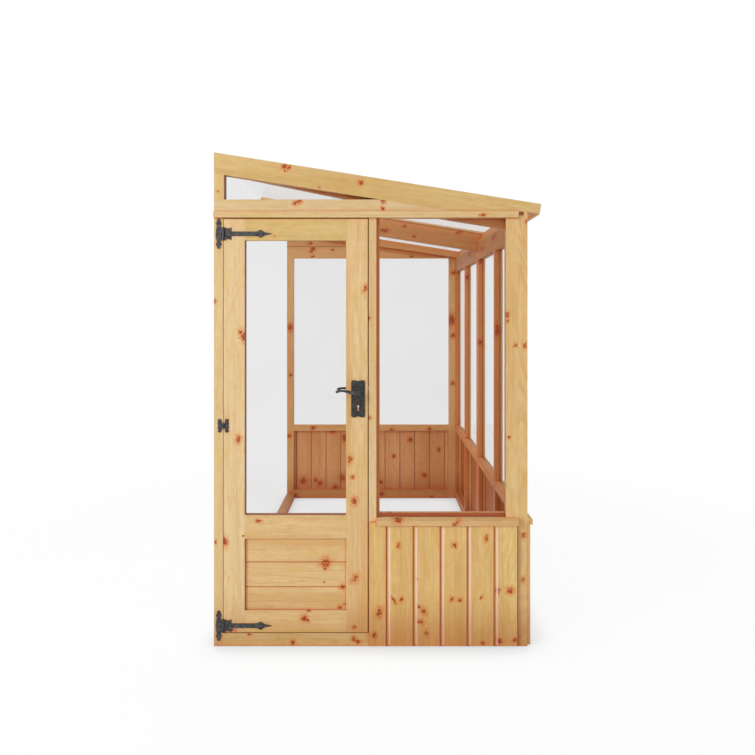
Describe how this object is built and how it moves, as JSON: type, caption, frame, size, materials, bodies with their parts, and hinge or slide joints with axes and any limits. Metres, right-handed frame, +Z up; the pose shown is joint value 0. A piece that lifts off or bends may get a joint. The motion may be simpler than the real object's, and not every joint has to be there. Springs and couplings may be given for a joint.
{
  "type": "lean-to greenhouse",
  "caption": "Timber lean-to greenhouse with a single-slope glazed roof, shiplap base boards, glazed long wall and gables, and a hinged half-glazed door with a lever lock.",
  "frame": {"origin": "centre of the footprint at ground level", "axes": "+Z up, +Y from the door gable to the far gable, +X from the house wall to the long glazed wall"},
  "size_m": [1.326, 2.4975, 2.012],
  "materials": {
    "frame_timber": "planed, clear coat",
    "roof_timber": "planed, clear coat",
    "door_timber": "planed, clear coat",
    "shiplap_boards": "planed, clear coat",
    "glazing": "clear",
    "black_ironmongery": "hammered black",
    "zinc_steel": "zinc plated",
    "nickelled_bolts": "satin"
  },
  "bodies": {
    "frame": {"door_stops": "door_timber", "eaves_closers": "roof_timber", "eaves_fascia": "roof_timber", "eaves_plates": "roof_timber", "front_bottom_rail": "frame_timber", "front_cladding": "shiplap_boards", "front_end_rafter": "roof_timber", "front_head_rail": "frame_timber", "front_head_strip": "frame_timber", "front_infill_pane": "glazing", "front_infill_rail": "frame_timber", "front_infill_stile": "frame_timber", "front_left_post": "frame_timber", "front_mid_rail": "frame_timber", "front_mullion": "frame_timber", "front_rafter_packer": "roof_timber", "front_right_stile": "frame_timber", "front_sill": "frame_timber", "front_window_pane": "glazing", "hinge_frame_leaves": "black_ironmongery", "hinge_pins": "black_ironmongery", "keep_plate": "zinc_steel", "middle_rafter": "roof_timber", "rear_bottom_rail": "frame_timber", "rear_cladding": "shiplap_boards", "rear_end_rafter": "roof_timber", "rear_head_rail": "frame_timber", "rear_infill_boards": "frame_timber", "rear_left_stile": "frame_timber", "rear_mid_rails": "frame_timber", "rear_mullion": "frame_timber", "rear_rafter_packer": "roof_timber", "rear_right_stile": "frame_timber", "rear_sill": "frame_timber", "rear_window_panes": "glazing", "roof_cover_batten": "roof_timber", "roof_panes": "glazing", "wall_bottom_rails": "frame_timber", "wall_cladding": "shiplap_boards", "wall_mid_rails": "frame_timber", "wall_panes": "glazing", "wall_side_runner": "frame_timber", "wall_sill": "frame_timber", "wall_stiles_and_studs": "frame_timber", "wall_top_rails": "frame_timber"},
    "door": {"door_backplates": "black_ironmongery", "door_bottom_rail": "door_timber", "door_hinge_stile": "door_timber", "door_lock_stile": "door_timber", "door_mid_rail": "door_timber", "door_pane": "glazing", "door_panel_boards": "door_timber", "door_top_rail": "door_timber", "hinge_door_leaves": "black_ironmongery", "lock_case": "zinc_steel"},
    "lever": {"lever_handles": "black_ironmongery", "lock_follower": "zinc_steel"},
    "latch_bolt": {"latch_bolt": "nickelled_bolts"},
    "dead_bolt": {"dead_bolt": "nickelled_bolts"}
  },
  "joints": [
    {"name": "door_hinge", "type": "hinge", "parent": "frame", "child": "door", "pos_m": [-0.625, -1.2202, 0.893], "axis": [0, 0, -1], "range_deg": [0, 88]},
    {"name": "handle_turn", "type": "hinge", "parent": "door", "child": "lever", "pos_m": [-0.079, -1.201, 1.029], "axis": [0, -1, 0], "range_deg": [0, 40], "stiffness_Nm_per_rad": 1, "springref_deg": -22.92},
    {"name": "latch_slide", "type": "slide", "parent": "door", "child": "latch_bolt", "axis": [-1, 0, 0], "range_m": [0, 0.01]},
    {"name": "dead_bolt_slide", "type": "slide", "parent": "door", "child": "dead_bolt", "axis": [1, 0, 0], "range_m": [0, 0.014]}
  ],
  "couplings": [
    {"joint": "latch_slide", "follows": "handle_turn", "m_per_rad": 0.01432}
  ]
}
